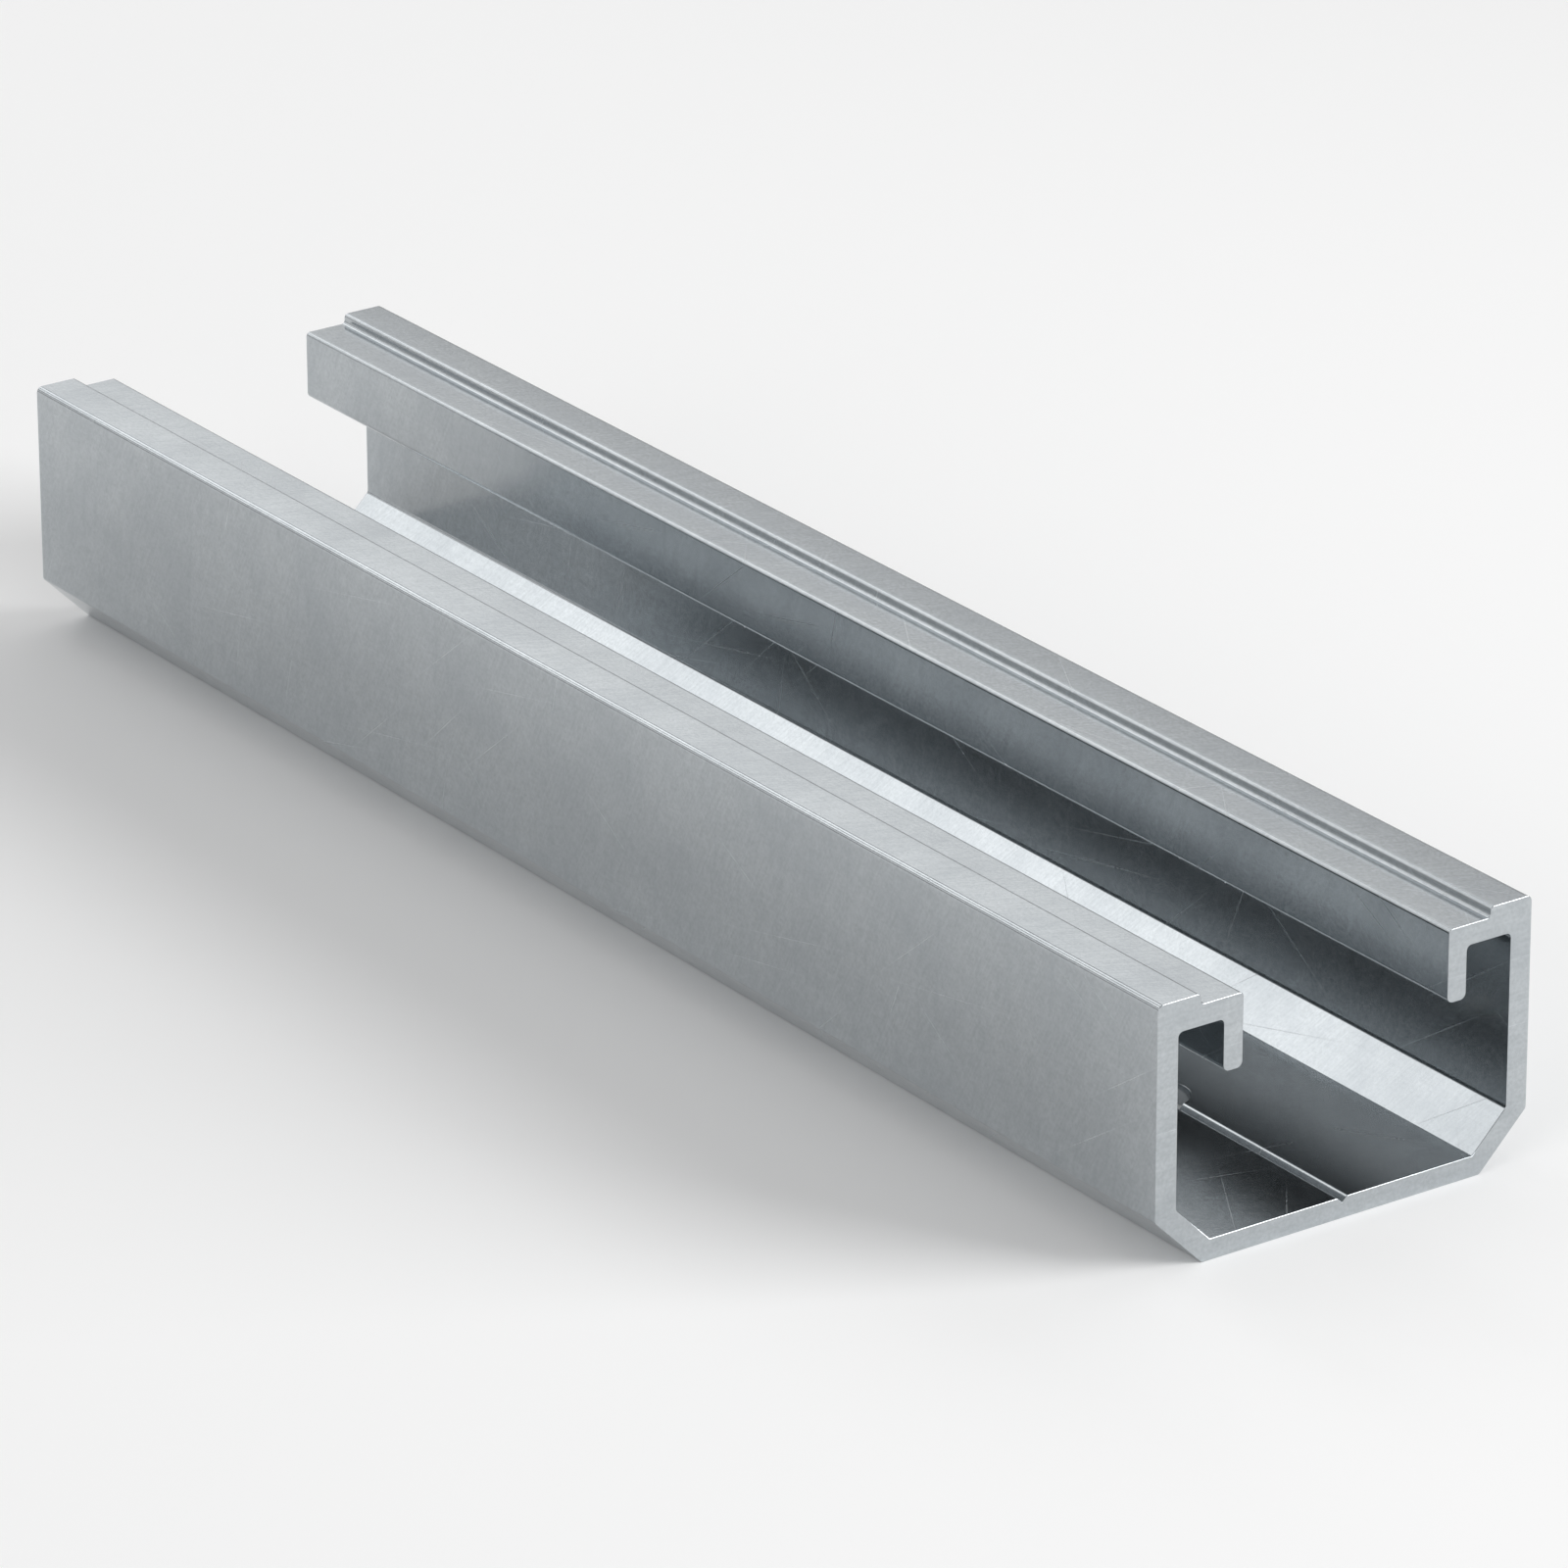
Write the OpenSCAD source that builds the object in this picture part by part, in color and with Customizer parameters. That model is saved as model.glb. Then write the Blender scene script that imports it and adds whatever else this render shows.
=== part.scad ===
// Short solar mounting rail: one aluminium extrusion with a C section, open along its top.
// X runs along the rail, Y across it and Z up from the flat underside. Sizes are in millimetres.

/* [Rail] */
// Length between the two saw cuts
rail_length = 180; // [80:1:1200]
// Width over the two legs
rail_width = 40; // [36:0.5:60]
// Height from the underside to the raised bands
rail_height = 25; // [20:0.5:60]
// Size of the 45 degree chamfer on each bottom corner
chamfer = 5; // [3:0.5:8]

/* [Walls] */
// Thickness of the legs
leg_t = 2.2; // [1.5:0.1:3]
// Thickness of the floor
floor_t = 2; // [1.5:0.1:3]
// Thickness of the walls behind the chamfers
chamfer_t = 2; // [1.5:0.1:3]
// Thickness of the flanges beside the slot
flange_t = 2; // [1.5:0.1:3]

/* [Slot and lips] */
// Width of the slot between the lips
slot_w = 22; // [18:0.5:24]
// Thickness of the lips that turn down beside the slot
lip_t = 2; // [1.5:0.1:2.5]
// Drop of the lips below the underside of the flanges
lip_drop = 4.9; // [3:0.1:7]
// Width of the raised band along the outer edge of each flange
band_w = 4.5; // [3:0.1:6]
// Height of the raised bands above the rest of the flanges
band_h = 1; // [0.9:0.1:1.5]

/* [Rounding] */
// Radius of the outer top corners
corner_r = 0.6; // [0.2:0.1:1]
// Radius of the two turns of each step beside a raised band
step_r = 0.4; // [0.1:0.05:0.45]
// Radius of the top corners of the slot
slot_r = 0.4; // [0.1:0.05:0.6]
// Radius of the lower corners of the lips
lip_r = 0.6; // [0.2:0.05:0.7]
// Radius in the top corners of the pockets behind the lips
pocket_r = 0.5; // [0.2:0.05:0.8]
// Radius of the bends where the chamfers meet the legs and the floor
bend_r = 0.5; // [0.2:0.1:1]
// Radius of the two lips of the V groove in the floor
groove_r = 0.4; // [0.1:0.05:0.5]

/* [Floor] */
// Width of the V groove that marks the centre line of the floor
groove_w = 1; // [0.6:0.1:1.4]
// Depth of the V groove
groove_d = 0.5; // [0.3:0.05:0.7]
// Diameter of the screw holes
hole_d = 5.5; // [4:0.1:9]
// Distance from each saw cut to the centre of the nearest hole
hole_end = 25.7; // [15:0.1:35]
// Number of screw holes in the row
hole_count = 2; // [2:1:8]

/* [Hidden] */

// How far a cutter reaches past the faces that it cuts through
past = 1;
// How far a corner piece reaches past its sharp corner, so that it overlaps what it is joined to or cut from
corner_past = 0.3;
// Sides of a circle, which is a true arc in the section
arc_sides = 64;

// Heights in the section
low_band_z = rail_height - band_h;
pocket_z = low_band_z - flange_t;
lip_z = pocket_z - lip_drop;

// Places across the section, measured from its centre line
leg_y = rail_width / 2;
leg_in_y = leg_y - leg_t;
step_y = leg_y - band_w;
slot_y = slot_w / 2;
lip_y = slot_y + lip_t;
foot_y = leg_y - chamfer;

// The inner face of a chamfered wall runs parallel to its outer face: y = z + chamfer_in
chamfer_in = foot_y - chamfer_t * sqrt(2);

// Corners of the half section on the +Y side, each as [y, z, radius]
HALF = [
    [foot_y, 0, bend_r],
    [leg_y, chamfer, bend_r],
    [leg_y, rail_height, corner_r],
    [step_y, rail_height, step_r],
    [step_y, low_band_z, step_r],
    [slot_y, low_band_z, slot_r],
    [slot_y, lip_z, lip_r],
    [lip_y, lip_z, lip_r],
    [lip_y, pocket_z, pocket_r],
    [leg_in_y, pocket_z, pocket_r],
    [leg_in_y, leg_in_y - chamfer_in, bend_r],
    [floor_t + chamfer_in, floor_t, 0],
    [groove_w / 2, floor_t, groove_r]
];
GROOVE_FOOT = [0, floor_t - groove_d, 0];

// The same corners on the -Y side, in reverse order
MIRRORED = [for (i = [len(HALF) - 1:-1:0]) [-HALF[i][0], HALF[i][1], HALF[i][2]]];
SECTION = concat(HALF, [GROOVE_FOOT], MIRRORED);

function point(corner) = [corner[0], corner[1]];
function towards(a, b) = (point(b) - point(a)) / norm(point(b) - point(a));

// What lies between a sharp corner and its arc: cut off where the corner points out, filled in where it points in
module corner_piece(before, corner, after) {
    to_before = towards(corner, before);
    to_after = towards(corner, after);
    half_turn = acos(to_before * to_after) / 2;
    radius = corner[2];
    reach = radius / tan(half_turn);
    middle = (to_before + to_after) / norm(to_before + to_after);
    difference() {
        polygon([
            point(corner) + reach * to_before,
            point(corner) - corner_past * middle,
            point(corner) + reach * to_after
        ]);
        translate(point(corner) + radius / sin(half_turn) * middle)
            circle(r = radius, $fn = arc_sides);
    }
}

// True where the outline turns left, so that the corner points out of the metal
function points_out(before, corner, after) =
    cross(point(corner) - point(before), point(after) - point(corner)) > 0;

module corner_pieces(corners, outward) {
    count = len(corners);
    for (i = [0:count - 1]) {
        before = corners[(i + count - 1) % count];
        after = corners[(i + 1) % count];
        if (corners[i][2] > 0 && points_out(before, corners[i], after) == outward) {
            // Both kinds of piece are drawn anticlockwise, as the outline is
            if (outward)
                corner_piece(before, corners[i], after);
            else
                corner_piece(after, corners[i], before);
        }
    }
}

module section() {
    difference() {
        union() {
            polygon([for (corner = SECTION) point(corner)]);
            corner_pieces(SECTION, false);
        }
        corner_pieces(SECTION, true);
    }
}

module screw_holes() {
    pitch = (rail_length - 2 * hole_end) / (hole_count - 1);
    for (i = [0:hole_count - 1])
        translate([hole_end - rail_length / 2 + i * pitch, 0, -past])
            cylinder(d = hole_d, h = floor_t + 2 * past, $fn = arc_sides);
}

module rail() {
    color("#b9bfc1")
        difference() {
            translate([-rail_length / 2, 0, 0])
                rotate([90, 0, 90])
                    linear_extrude(height = rail_length)
                        section();
            screw_holes();
        }
}

rail();
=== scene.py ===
import math

import bmesh
import bpy
from mathutils import Matrix, Vector


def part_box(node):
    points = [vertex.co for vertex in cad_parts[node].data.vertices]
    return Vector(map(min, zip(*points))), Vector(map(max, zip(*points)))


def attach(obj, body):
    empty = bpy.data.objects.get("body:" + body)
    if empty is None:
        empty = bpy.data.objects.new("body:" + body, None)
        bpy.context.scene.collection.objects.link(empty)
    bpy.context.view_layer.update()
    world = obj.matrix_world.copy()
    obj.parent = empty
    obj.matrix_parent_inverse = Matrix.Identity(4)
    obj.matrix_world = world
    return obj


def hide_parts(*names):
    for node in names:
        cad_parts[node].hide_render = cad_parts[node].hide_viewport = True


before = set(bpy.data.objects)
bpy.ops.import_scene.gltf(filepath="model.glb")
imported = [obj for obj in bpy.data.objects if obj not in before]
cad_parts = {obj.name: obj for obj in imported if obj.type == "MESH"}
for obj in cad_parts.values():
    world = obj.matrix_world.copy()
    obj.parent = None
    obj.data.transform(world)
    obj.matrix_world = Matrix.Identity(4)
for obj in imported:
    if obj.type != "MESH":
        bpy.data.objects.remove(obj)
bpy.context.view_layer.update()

# The rail is one aluminium extrusion with a C section, open along its top. The die gives every long corner
# its own small radius. The stock is sawn to length, drilled through the floor and deburred by hand.
# Its sizes are in millimetres, and MM turns them into the scene's metres.
MM = 0.001
rail_low, rail_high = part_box("rail")
leg_outside = rail_high.y / MM
rail_height = rail_high.z / MM
chamfer = 5.0
leg_wall = 2.2
floor_wall = 2.0
chamfer_wall = 2.0
flange_wall = 2.0
slot_half = 11.0
lip_wall = 2.0
lip_drop = 4.9
band_width = 4.5
band_height = 1.0
groove_half = 0.5
groove_depth = 0.5
hole_radius = 2.75
hole_from_cut = 25.7

bend_radius = 0.5
corner_radius = 0.6
step_radius = 0.4
slot_radius = 0.4
lip_radius = 0.6
pocket_radius = 0.5
groove_radius = 0.4
arc_segments = 8

low_band_z = rail_height - band_height
pocket_z = low_band_z - flange_wall
lip_z = pocket_z - lip_drop
leg_inside = leg_outside - leg_wall
foot = leg_outside - chamfer
# The inner face of a chamfered wall runs parallel to its outer face: height = place across - chamfer_inside
chamfer_inside = foot - chamfer_wall * math.sqrt(2)

# Corners of the section on the +Y side: place across the rail, height and radius
half_section = [
    (foot, 0, bend_radius),
    (leg_outside, chamfer, bend_radius),
    (leg_outside, rail_height, corner_radius),
    (leg_outside - band_width, rail_height, step_radius),
    (leg_outside - band_width, low_band_z, step_radius),
    (slot_half, low_band_z, slot_radius),
    (slot_half, lip_z, lip_radius),
    (slot_half + lip_wall, lip_z, lip_radius),
    (slot_half + lip_wall, pocket_z, pocket_radius),
    (leg_inside, pocket_z, pocket_radius),
    (leg_inside, leg_inside - chamfer_inside, bend_radius),
    (floor_wall + chamfer_inside, floor_wall, 0),
    (groove_half, floor_wall, groove_radius),
]
groove_foot = (0, floor_wall - groove_depth, 0)
mirrored = [(-across, up, radius) for across, up, radius in reversed(half_section)]
section = half_section + [groove_foot] + mirrored

mesh = bmesh.new()
corners = [mesh.verts.new((rail_low.x, across * MM, up * MM)) for across, up, radius in section]
mesh.faces.new(corners)
for i, (across, up, radius) in enumerate(section):
    if radius == 0:
        continue
    here = Vector((across, up))
    before = (Vector(section[i - 1][:2]) - here).normalized()
    after = (Vector(section[(i + 1) % len(section)][:2]) - here).normalized()
    reach = radius / math.tan(before.angle(after) / 2)
    bmesh.ops.bevel(mesh, geom=[corners[i]], offset=reach * MM, segments=arc_segments, profile=0.5,
                    affect="VERTICES", material=-1)

saw_cut = mesh.faces[:]
pulled = bmesh.ops.extrude_face_region(mesh, geom=saw_cut, use_keep_orig=True)
bmesh.ops.translate(mesh, verts=[v for v in pulled["geom"] if isinstance(v, bmesh.types.BMVert)],
                    vec=(rail_high.x - rail_low.x, 0, 0))
bmesh.ops.recalc_face_normals(mesh, faces=mesh.faces)

rail_mesh = bpy.data.meshes.new("rail_blank")
mesh.to_mesh(rail_mesh)
mesh.free()
rail = bpy.data.objects.new("mounting_rail", rail_mesh)
bpy.context.scene.collection.objects.link(rail)

# Two clearance holes for the screws, drilled on the floor's centre line, one near each cut
hole_places = [rail_low.x + hole_from_cut * MM, rail_high.x - hole_from_cut * MM]
hole_sides = 96
drill_length = 8
drill_mesh = bmesh.new()
for hole_x in hole_places:
    bmesh.ops.create_cone(drill_mesh, cap_ends=True, segments=hole_sides, radius1=hole_radius * MM,
                          radius2=hole_radius * MM, depth=drill_length * MM,
                          matrix=Matrix.Translation((hole_x, 0, floor_wall * MM / 2)))
drill_data = bpy.data.meshes.new("drill")
drill_mesh.to_mesh(drill_data)
drill_mesh.free()
drill = bpy.data.objects.new("drill", drill_data)
bpy.context.scene.collection.objects.link(drill)
cut = rail.modifiers.new("Drilled holes", "BOOLEAN")
cut.operation = "DIFFERENCE"
cut.solver = "EXACT"
cut.object = drill
bpy.context.view_layer.update()
drilled = bpy.data.meshes.new_from_object(rail.evaluated_get(bpy.context.evaluated_depsgraph_get()))
rail.modifiers.remove(cut)
rail.data = drilled
bpy.data.objects.remove(drill)

# The saw and the drill leave sharp edges, which a file and a countersink break
edge_break = 0.18
edge_break_segments = 3
extruded_slot = 0
sawn_slot = 1
filed_slot = 2
sharp_angle = 40
# How far a point may lie from the plane or circle that it is on, in metres, and how far a normal may tip
near = 0.01 * MM
slight_tip = 0.01

mesh = bmesh.new()
mesh.from_mesh(rail.data)


def was_cut(edge):
    """True for an edge of a saw cut or of a hole's rim."""
    for end in (rail_low.x, rail_high.x):
        if all(abs(v.co.x - end) < near for v in edge.verts):
            return True
    for hole_x in hole_places:
        if all(abs(math.hypot(v.co.x - hole_x, v.co.y) - hole_radius * MM) < near for v in edge.verts):
            walls = [face for face in edge.link_faces if abs(face.normal.z) < slight_tip]
            if len(walls) == 1:
                return True
    return False


def in_a_hole(face):
    """True for a face of a hole's wall."""
    reach = (hole_radius + edge_break) * MM + near
    return any(all(math.hypot(v.co.x - hole_x, v.co.y) < reach for v in face.verts)
               for hole_x in hole_places)


cut_edges = [edge for edge in mesh.edges if was_cut(edge)]
filed = bmesh.ops.bevel(mesh, geom=cut_edges, offset=edge_break * MM, segments=edge_break_segments,
                        profile=0.5, affect="EDGES", material=-1, clamp_overlap=True)
for face in mesh.faces:
    face.smooth = True
    face.material_index = extruded_slot
    if abs(face.normal.x) > 1 - slight_tip:
        face.material_index = sawn_slot
    if in_a_hole(face):
        face.material_index = filed_slot
for face in filed["faces"]:
    face.material_index = filed_slot
mesh.to_mesh(rail.data)
mesh.free()
rail.data.set_sharp_from_angle(angle=math.radians(sharp_angle))
even = rail.modifiers.new("Even normals", "WEIGHTED_NORMAL")
even.keep_sharp = True

# Mill-finish aluminium, as it leaves the extrusion press and lies in a rack. The die draws fine lines along
# it, the press oil and the oxide leave faint blue-grey clouds, and handling leaves thin scratches.
dark_metal = "#adb2b5"
light_metal = "#c6cbce"
oxide_film = "#a5abb0"
extruded_roughness = 0.155
cloud_size = 9
patch_size = 2.6
speck_size = 1.1
rub_length = 7
rub_width = 0.9
rub_angle = 86
die_line_length = 30
# The metal's own grain is about 0.05 mm and its lines and scratches about 0.03 mm wide. All are drawn
# coarser, so that they still show where the camera sees 0.1 to 0.2 mm in each pixel.
grain_size = 0.32
die_line_width = 0.25
brush_length = 5
brush_width = 0.22
brush_angle = 62
scratch_width = 0.08
# Each kind of scratch has an angle to the rail, a length, a spacing and a share
scratch_kinds = [(9, 24, 2.6, 0.11), (-37, 16, 2.9, 0.1), (33, 19, 3.3, 0.11), (68, 13, 3.7, 0.06)]
grain_height = 0.01
grain_relief = 0.1


def linear(hex_colour):
    """An sRGB hex colour as the linear colour that a shader socket takes."""
    channels = [int(hex_colour[i:i + 2], 16) / 255 for i in (1, 3, 5)]
    return [c / 12.92 if c <= 0.04045 else ((c + 0.055) / 1.055) ** 2.4 for c in channels] + [1]


def add_node(tree, kind, inputs=None, **settings):
    """Adds a node, sets its settings, and fills its inputs. A node as an input gives its first output."""
    node = tree.nodes.new(kind)
    for name, value in settings.items():
        setattr(node, name, value)
    for name, value in (inputs or {}).items():
        if isinstance(value, bpy.types.Node):
            tree.links.new(value.outputs[0], node.inputs[name])
        elif isinstance(value, bpy.types.NodeSocket):
            tree.links.new(value, node.inputs[name])
        else:
            node.inputs[name].default_value = value
    return node


def bare_metal(name):
    """A new material for one finish of the bare metal, which keeps the default IOR."""
    material = bpy.data.materials.new(name)
    material.use_nodes = True
    material.node_tree.nodes["Principled BSDF"].inputs["Metallic"].default_value = 1
    return material


def give_finish(material, colour, roughness, relief):
    """Links a finish's colour, roughness and relief to its material's shader."""
    shader = material.node_tree.nodes["Principled BSDF"]
    material.node_tree.links.new(colour, shader.inputs["Base Color"])
    material.node_tree.links.new(roughness.outputs[0], shader.inputs["Roughness"])
    material.node_tree.links.new(relief.outputs["Normal"], shader.inputs["Normal"])


def streaks(tree, where, angle, length, width, depth=4):
    """Noise drawn out to a length and a width in millimetres, at an angle in degrees to the rail."""
    turned = add_node(tree, "ShaderNodeMapping",
                      {"Vector": where, "Location": (angle * MM, 0, 0),
                       "Rotation": (0, 0, math.radians(angle)),
                       "Scale": (length * MM, width * MM, depth * MM)}, vector_type="TEXTURE")
    return add_node(tree, "ShaderNodeTexNoise", {"Vector": turned, "Scale": 1, "Detail": 1})


def scratches(tree, where, kinds):
    """Straight thin scratches: 1 along their middle, fading to 0 at their ends.

    Each kind has an angle in degrees, a length and a spacing in millimetres, and a share. The surface is
    divided into cells of that length by that spacing. The share is how many of them hold a scratch, which
    starts at one height in its cell and ends at another.
    """
    marks = 0
    for angle, length, spacing, share in kinds:
        turned = add_node(tree, "ShaderNodeMapping",
                          {"Vector": where, "Rotation": (0, 0, math.radians(angle)),
                           "Scale": (length * MM, spacing * MM, MM)}, vector_type="TEXTURE")
        cells = add_node(tree, "ShaderNodeSeparateXYZ", {"Vector": turned})
        row = add_node(tree, "ShaderNodeMath", {0: cells.outputs["Y"]}, operation="FLOOR")
        up_row = add_node(tree, "ShaderNodeMath", {0: cells.outputs["Y"]}, operation="FRACT")
        stagger = add_node(tree, "ShaderNodeTexWhiteNoise", {"W": row}, noise_dimensions="1D")
        along = add_node(tree, "ShaderNodeMath", {0: cells.outputs["X"], 1: stagger}, operation="ADD")
        column = add_node(tree, "ShaderNodeMath", {0: along}, operation="FLOOR")
        along_cell = add_node(tree, "ShaderNodeMath", {0: along}, operation="FRACT")
        cell = add_node(tree, "ShaderNodeCombineXYZ", {"X": row, "Y": column, "Z": angle})
        chance = add_node(tree, "ShaderNodeTexWhiteNoise", {"Vector": cell}, noise_dimensions="3D")
        ends = add_node(tree, "ShaderNodeSeparateXYZ", {"Vector": chance.outputs["Color"]})
        line = add_node(tree, "ShaderNodeMapRange",
                        {"Value": along_cell, "To Min": ends.outputs["X"], "To Max": ends.outputs["Y"]})
        on_line = add_node(tree, "ShaderNodeMath", {0: up_row, 1: line, 2: scratch_width / spacing / 2},
                           operation="COMPARE")
        in_share = add_node(tree, "ShaderNodeMath", {0: chance, 1: share}, operation="LESS_THAN")
        shown = add_node(tree, "ShaderNodeMath", {0: on_line, 1: in_share}, operation="MULTIPLY")
        from_end = add_node(tree, "ShaderNodeMath", {0: along_cell, 1: 0.5}, operation="PINGPONG")
        fading = add_node(tree, "ShaderNodeMath", {0: from_end, 1: 2}, operation="MULTIPLY")
        marks = add_node(tree, "ShaderNodeMath", {0: shown, 1: fading, 2: marks}, operation="MULTIPLY_ADD")
    return marks


def layered(tree, start, *layers):
    """The start value plus each layer: a pattern, its values that count as 0 and 1, and how much 1 adds."""
    value = start
    for pattern, low, high, amount in layers:
        share = add_node(tree, "ShaderNodeMapRange", {"Value": pattern, "From Min": low, "From Max": high})
        value = add_node(tree, "ShaderNodeMath", {0: share, 1: amount, 2: value}, operation="MULTIPLY_ADD")
    return value


extruded = bare_metal("mill finish extruded aluminium")
tree = extruded.node_tree
coordinates = add_node(tree, "ShaderNodeTexCoord")

# On the legs the pattern lies along the rail and up it, on the flanges and the floor along and across it.
# A Mix node's inputs go by number: 0 is the factor, 4 and 5 are its vectors, 6 and 7 its colours. Its
# output 1 is the mixed vector, and 2 the mixed colour.
place = add_node(tree, "ShaderNodeSeparateXYZ", {"Vector": coordinates.outputs["Object"]})
facing = add_node(tree, "ShaderNodeSeparateXYZ", {"Vector": coordinates.outputs["Normal"]})
facing_up = add_node(tree, "ShaderNodeMath", {0: facing.outputs["Z"]}, operation="ABSOLUTE")
is_level = add_node(tree, "ShaderNodeMath", {0: facing_up, 1: 0.5}, operation="GREATER_THAN")
on_leg = add_node(tree, "ShaderNodeCombineXYZ",
                  {"X": place.outputs["X"], "Y": place.outputs["Z"], "Z": place.outputs["Y"]})
surface = add_node(tree, "ShaderNodeMix", {0: is_level, 4: on_leg, 5: coordinates.outputs["Object"]},
                   data_type="VECTOR").outputs[1]

grain = add_node(tree, "ShaderNodeTexNoise",
                 {"Vector": surface, "Scale": 1 / (grain_size * MM), "Detail": 1})
specks = add_node(tree, "ShaderNodeTexNoise",
                  {"Vector": surface, "Scale": 1 / (speck_size * MM), "Detail": 2})
patches = add_node(tree, "ShaderNodeTexNoise",
                   {"Vector": surface, "Scale": 1 / (patch_size * MM), "Detail": 3})
clouds = add_node(tree, "ShaderNodeTexNoise",
                  {"Vector": surface, "Scale": 1 / (cloud_size * MM), "Detail": 4})
die_lines = streaks(tree, surface, 0, die_line_length, die_line_width)
brushing = streaks(tree, surface, brush_angle, brush_length, brush_width)
rubs = streaks(tree, surface, rub_angle, rub_length, rub_width)
handling = scratches(tree, surface, scratch_kinds)

# Light grain, lines and scratches on the plain metal, then the blue-grey clouds over it
tone = layered(tree, 0.08,
               (grain, 0.3, 0.7, 0.42),
               (die_lines, 0.3, 0.7, 0.12),
               (brushing, 0.3, 0.7, 0.26),
               (specks, 0.3, 0.7, 0.16),
               (handling, 0, 1, 0.6))
plain = add_node(tree, "ShaderNodeMix", {0: tone, 6: linear(dark_metal), 7: linear(light_metal)},
                 data_type="RGBA", clamp_factor=False).outputs[2]
film = layered(tree, 0,
               (clouds, 0.4, 0.65, 0.24),
               (patches, 0.45, 0.65, 0.1),
               (rubs, 0.56, 0.74, 0.16))
colour = add_node(tree, "ShaderNodeMix", {0: film, 6: plain, 7: linear(oxide_film)},
                  data_type="RGBA").outputs[2]
roughness = layered(tree, extruded_roughness,
                    (clouds, 0.35, 0.65, 0.025),
                    (grain, 0.3, 0.7, 0.02),
                    (handling, 0, 1, 0.13))
height = layered(tree, 0,
                 (grain, 0, 1, 0.5),
                 (brushing, 0, 1, 0.5))
relief = add_node(tree, "ShaderNodeBump",
                  {"Height": height, "Strength": grain_relief, "Distance": grain_height * MM})
give_finish(extruded, colour, roughness, relief)

# The ends are cut by a circular saw: a rougher, paler face with faint arcs from the blade's teeth and soft
# smears where the blade rubbed.
smeared_dark = "#bbbfc2"
smeared_light = "#e4e7e9"
sawn_roughness = 0.46
smear_size = 2.4
smear_stroke_length = 5
smear_stroke_width = 0.7
smear_stroke_angle = 38
nick_kinds = [(24, 5, 1.1, 0.25), (-52, 4, 1.3, 0.2)]
tooth_mark_height = 0.02
tooth_mark_relief = 0.35
# The blade is about 260 mm across, and its centre lies below the rail and beside it
blade_centre = (0, 70, -95)
# Real tooth marks are about 0.1 mm apart. They are drawn coarser, so that they still show.
tooth_mark_gap = 0.5

sawn = bare_metal("saw cut aluminium")
tree = sawn.node_tree
coordinates = add_node(tree, "ShaderNodeTexCoord")
place = add_node(tree, "ShaderNodeSeparateXYZ", {"Vector": coordinates.outputs["Object"]})
in_plane = add_node(tree, "ShaderNodeCombineXYZ",
                    {"X": place.outputs["Y"], "Y": place.outputs["Z"], "Z": place.outputs["X"]})
flat_place = add_node(tree, "ShaderNodeVectorMath", {0: coordinates.outputs["Object"], 1: (0, 1, 1)},
                      operation="MULTIPLY")
from_centre = add_node(tree, "ShaderNodeVectorMath", {0: flat_place, 1: [c * MM for c in blade_centre]},
                       operation="DISTANCE")
tooth_marks = add_node(tree, "ShaderNodeTexNoise",
                       {"W": from_centre.outputs["Value"], "Scale": 1 / (tooth_mark_gap * MM), "Detail": 1},
                       noise_dimensions="1D")
smears = add_node(tree, "ShaderNodeTexNoise",
                  {"Vector": in_plane, "Scale": 1 / (smear_size * MM), "Detail": 3})
smear_strokes = streaks(tree, in_plane, smear_stroke_angle, smear_stroke_length, smear_stroke_width)
grain = add_node(tree, "ShaderNodeTexNoise",
                 {"Vector": in_plane, "Scale": 1 / (grain_size * MM), "Detail": 2})
nicks = scratches(tree, in_plane, nick_kinds)
tone = layered(tree, 0,
               (smears, 0.35, 0.65, 0.65),
               (smear_strokes, 0.35, 0.65, 0.3),
               (tooth_marks, 0.3, 0.7, 0.08),
               (grain, 0.3, 0.7, 0.25),
               (nicks, 0, 1, 0.3))
colour = add_node(tree, "ShaderNodeMix", {0: tone, 6: linear(smeared_dark), 7: linear(smeared_light)},
                  data_type="RGBA").outputs[2]
roughness = layered(tree, sawn_roughness,
                    (smears, 0.35, 0.65, 0.1),
                    (smear_strokes, 0.3, 0.7, 0.06))
height = layered(tree, 0,
                 (tooth_marks, 0, 1, 0.5),
                 (grain, 0, 1, 0.4),
                 (nicks, 0, 1, -0.6))
relief = add_node(tree, "ShaderNodeBump",
                  {"Height": height, "Strength": tooth_mark_relief, "Distance": tooth_mark_height * MM})
give_finish(sawn, colour, roughness, relief)

# Drilled walls and edges broken with a file are the brightest metal on the rail, as no oxide has grown
# there yet. The file leaves short strokes, about 0.1 mm apart. They are drawn coarser, so that they show.
filed_dark = "#dcdfe1"
filed_light = "#eef0f1"
filed_roughness = 0.52
file_stroke_gap = 0.3
file_stroke_height = 0.02
file_stroke_relief = 0.12

filed_metal = bare_metal("filed and drilled bare aluminium")
tree = filed_metal.node_tree
coordinates = add_node(tree, "ShaderNodeTexCoord")
file_strokes = add_node(tree, "ShaderNodeTexNoise",
                        {"Vector": coordinates.outputs["Object"], "Scale": 1 / (file_stroke_gap * MM),
                         "Detail": 2})
tone = layered(tree, 0, (file_strokes, 0.3, 0.7, 1))
colour = add_node(tree, "ShaderNodeMix", {0: tone, 6: linear(filed_dark), 7: linear(filed_light)},
                  data_type="RGBA").outputs[2]
roughness = layered(tree, filed_roughness, (file_strokes, 0.3, 0.7, 0.12))
relief = add_node(tree, "ShaderNodeBump", {"Height": file_strokes, "Strength": file_stroke_relief,
                                           "Distance": file_stroke_height * MM})
give_finish(filed_metal, colour, roughness, relief)

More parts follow.
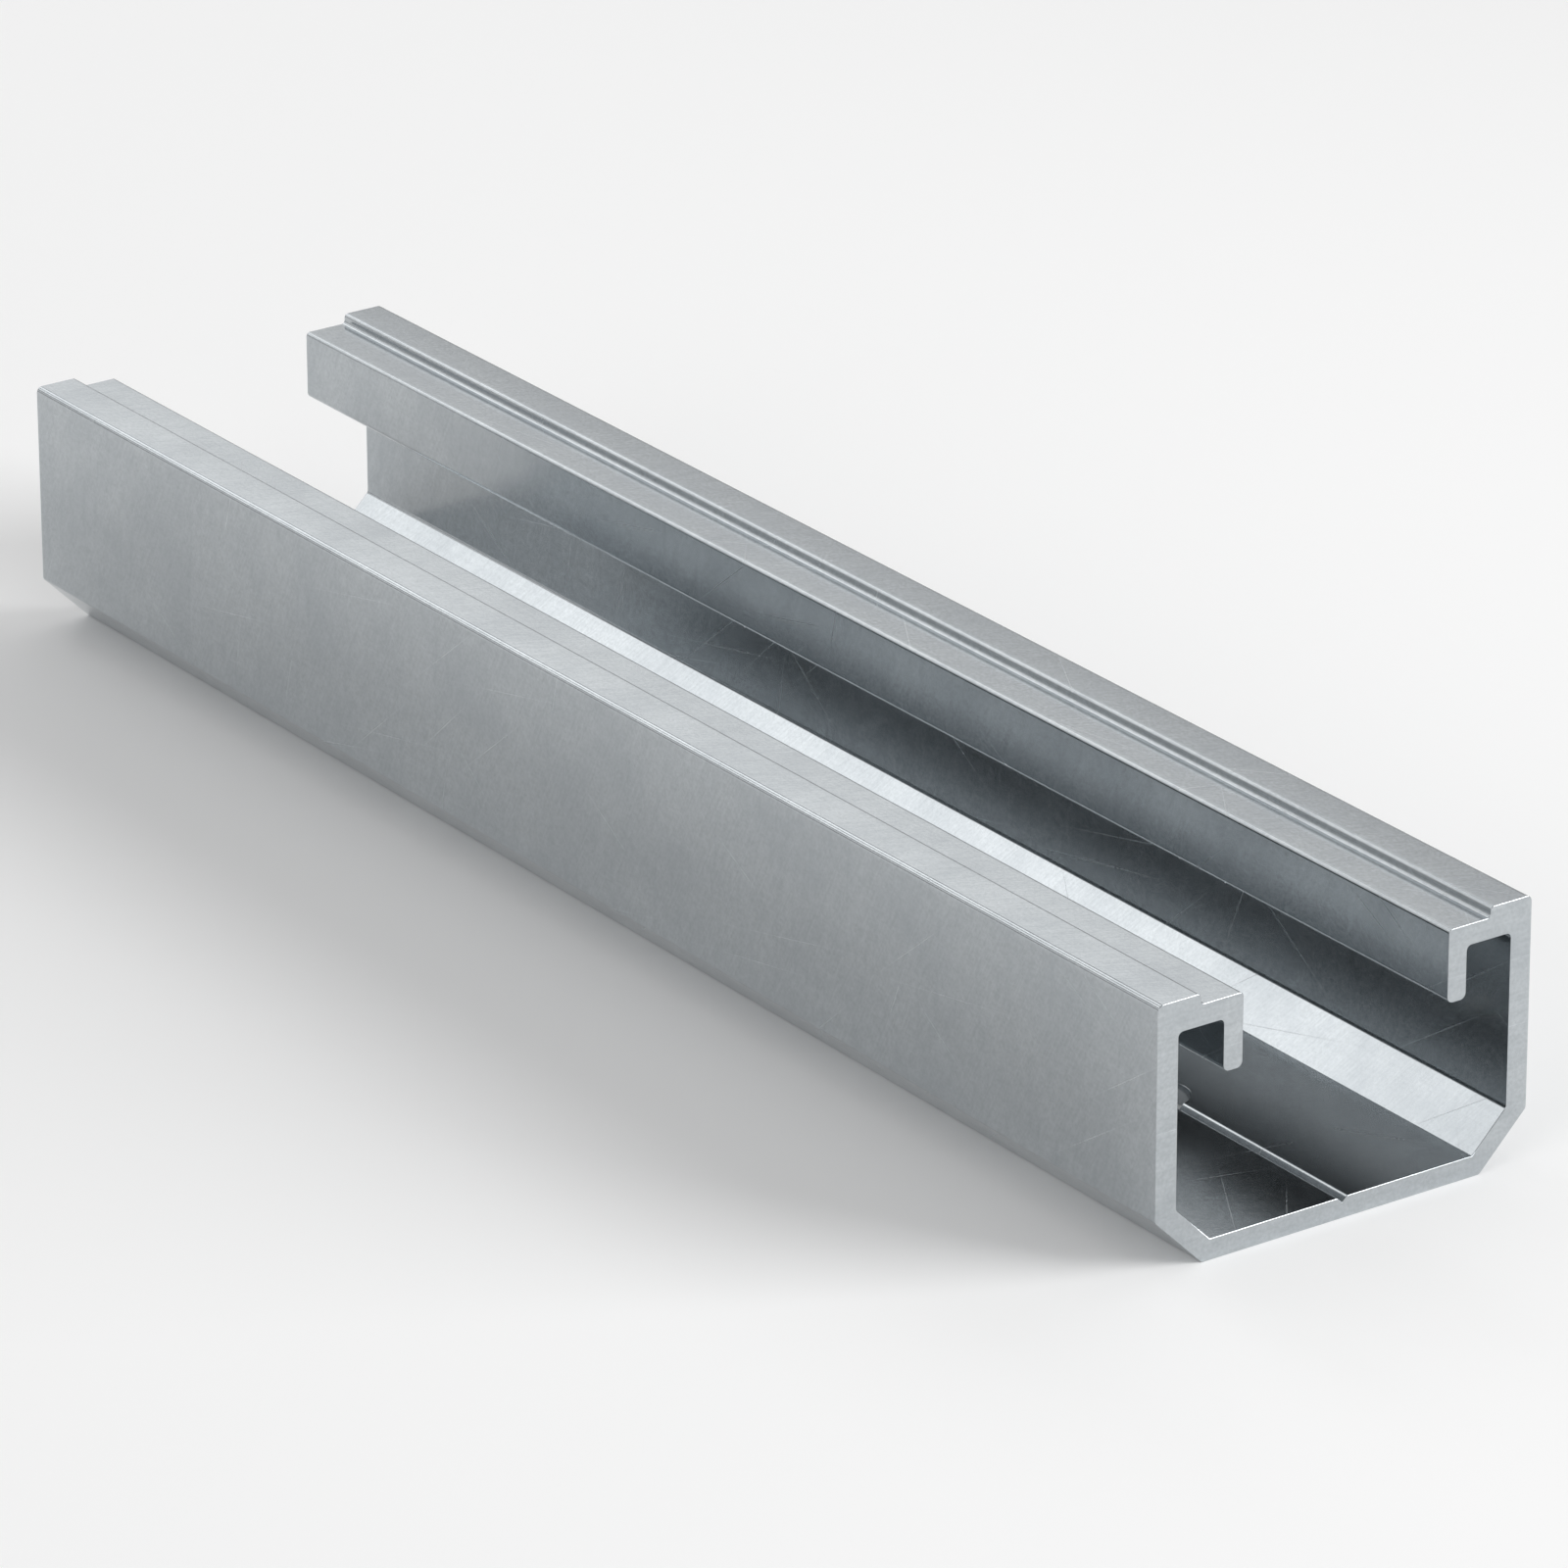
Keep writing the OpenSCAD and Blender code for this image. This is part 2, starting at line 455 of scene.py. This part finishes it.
# The finishes go on in the order of their slots, and the finished rail takes the place of the CAD's rail
rail.data.materials.clear()
for finish in (extruded, sawn, filed_metal):
    rail.data.materials.append(finish)
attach(rail, "root")
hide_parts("rail")

# The floor is a plain sheet of white paper that the rail lies on. It runs far past the frame on all sides
# and keeps the rail's shadow.
floor_half = 3.0
paper_white = "#f7f7f7"
paper_roughness = 0.9
mesh = bmesh.new()
bmesh.ops.create_grid(mesh, x_segments=1, y_segments=1, size=floor_half)
floor_mesh = bpy.data.meshes.new("floor")
mesh.to_mesh(floor_mesh)
mesh.free()
floor = bpy.data.objects.new("floor", floor_mesh)
bpy.context.scene.collection.objects.link(floor)
paper = bpy.data.materials.new("white paper")
paper.use_nodes = True
paper.node_tree.nodes["Principled BSDF"].inputs["Base Color"].default_value = linear(paper_white)
paper.node_tree.nodes["Principled BSDF"].inputs["Roughness"].default_value = paper_roughness
floor_mesh.materials.append(paper)

# A plain studio: even light from all round and six softboxes. Four of them stand behind the rail, a fill
# in front of it on the left, and the key on the right. Bare metal shows what it reflects, so each of the
# four stands where one set of faces mirrors it to the camera.
room_brightness = 0.45
world = bpy.data.worlds.new("studio")
bpy.context.scene.world = world
world.use_nodes = True
world.node_tree.nodes["Background"].inputs["Color"].default_value = (1, 1, 1, 1)
world.node_tree.nodes["Background"].inputs["Strength"].default_value = room_brightness


def softbox(name, place, aim, width, height, brightness):
    """A rectangular lamp that faces the point aim. At a brightness of 1 it looks plain white."""
    data = bpy.data.lights.new(name, "AREA")
    data.shape = "RECTANGLE"
    data.size = width
    data.size_y = height
    data.energy = brightness * math.pi * width * height
    lamp = bpy.data.objects.new(name, data)
    lamp.location = place
    lamp.rotation_euler = (Vector(aim) - Vector(place)).to_track_quat("-Z", "Y").to_euler()
    bpy.context.scene.collection.objects.link(lamp)


softbox("chamfer softbox", (-0.68, -0.33, 0.48), (-0.68, 0.02, 0), 0.5, 0.22, 1.23)
softbox("edge softbox", (-0.68, 0.02, 0.59), (0, 0, 0), 0.3, 0.32, 1.4)
softbox("low edge softbox", (-0.68, -0.52, 0.24), (-0.68, 0.02, 0), 0.6, 0.12, 0.65)
softbox("flange softbox", (-0.43, 0.30, 0.36), (-0.43, 0, 0.36), 1.0, 0.26, 0.78)
softbox("fill", (0.35, -0.85, 0.45), (0, 0, 0), 0.6, 0.4, 2.5)
softbox("key", (0.93, 0.84, 0.47), (0, 0, 0), 0.8, 0.8, 9.4)

# The camera stands where the photograph was taken from, in front of the rail's near end, and looks down
# along the rail. Its place, lens and roll were solved from the rail's straight edges in the photograph.
camera_data = bpy.data.cameras.new("camera")
camera_data.sensor_width = 36
camera_data.lens = 222.5
camera = bpy.data.objects.new("camera", camera_data)
camera.location = (0.67308, -0.46756, 0.35535)
camera_aim = Vector((0.00891, -0.00095, 0.0125))
camera_roll = math.radians(-0.17)
view = (camera_aim - camera.location).to_track_quat("-Z", "Y").to_matrix()
camera.rotation_euler = (view @ Matrix.Rotation(camera_roll, 3, "Z")).to_euler()
bpy.context.scene.collection.objects.link(camera)
bpy.context.scene.camera = camera

bpy.context.scene.view_settings.view_transform = "Standard"
